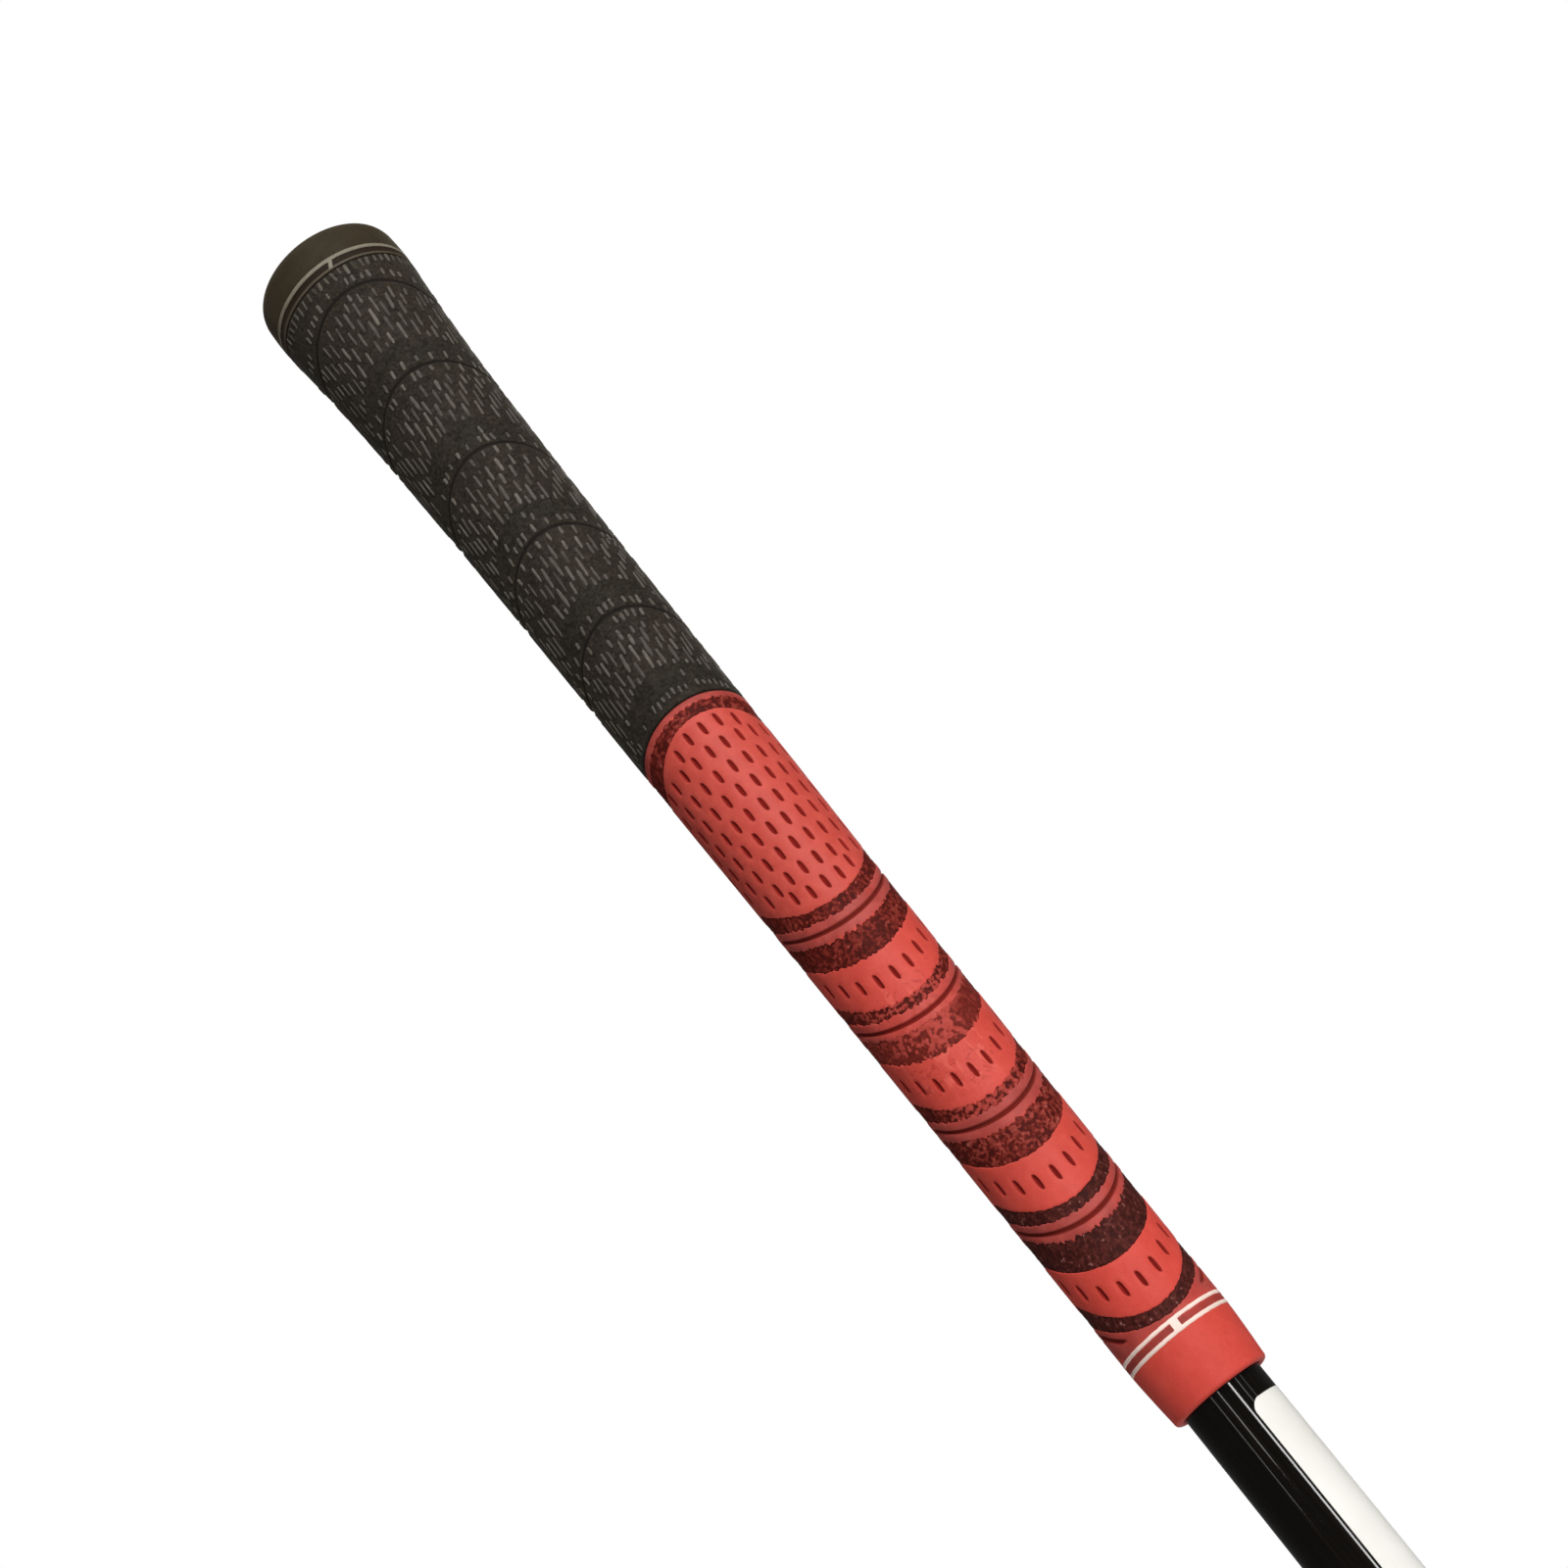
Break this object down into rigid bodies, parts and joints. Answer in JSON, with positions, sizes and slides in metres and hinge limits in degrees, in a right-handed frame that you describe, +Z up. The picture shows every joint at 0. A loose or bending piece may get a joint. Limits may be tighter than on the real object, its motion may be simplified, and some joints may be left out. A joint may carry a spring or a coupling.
{
  "type": "golf grip",
  "caption": "Slip-on two-compound golf grip with a corded upper hand, textured lower hand and vented butt cap, fitted on the butt section of a tubular shaft.",
  "frame": {"origin": "centre of the shaft's cut end, where the bare shaft stops below the grip", "axes": "+Z up the shaft and grip towards the butt cap, -Y the front of the grip where the alignment marks are, +X to the right seen from the front"},
  "size_m": [0.0298, 0.0298, 0.3466],
  "materials": {
    "shaft_black": "gloss black clear-coated graphite tube",
    "label_white": "white decal under clear coat, bare",
    "tape": "double-sided masking tape",
    "core_rubber": "plain moulded rubber",
    "band_dark": "dark maroon micro-textured fill, worn in places",
    "ring_white": "white ring paint",
    "red_rubber": "satin moulded rubber",
    "cord_cotton": "cotton cord set in black rubber",
    "black_rubber": "matt ground rubber",
    "cap_rubber": "smooth firm rubber"
  },
  "bodies": {
    "root": {"shaft_tube": "shaft_black", "shaft_label": "label_white", "grip_tape": "tape", "core_sleeve": "core_rubber", "collar_ring_paint": "ring_white", "lower_sleeve": "red_rubber", "cord_fabric": "cord_cotton", "cord_skin": "black_rubber", "cap_ring_paint": "ring_white", "butt_cap": "cap_rubber", "band_fill_01": "band_dark", "band_fill_02": "band_dark", "band_fill_03": "band_dark", "band_fill_04": "band_dark", "band_fill_05": "band_dark", "band_fill_06": "band_dark", "band_fill_07": "band_dark", "band_fill_08": "band_dark", "band_fill_09": "band_dark", "band_fill_10": "band_dark"}
  },
  "joints": []
}
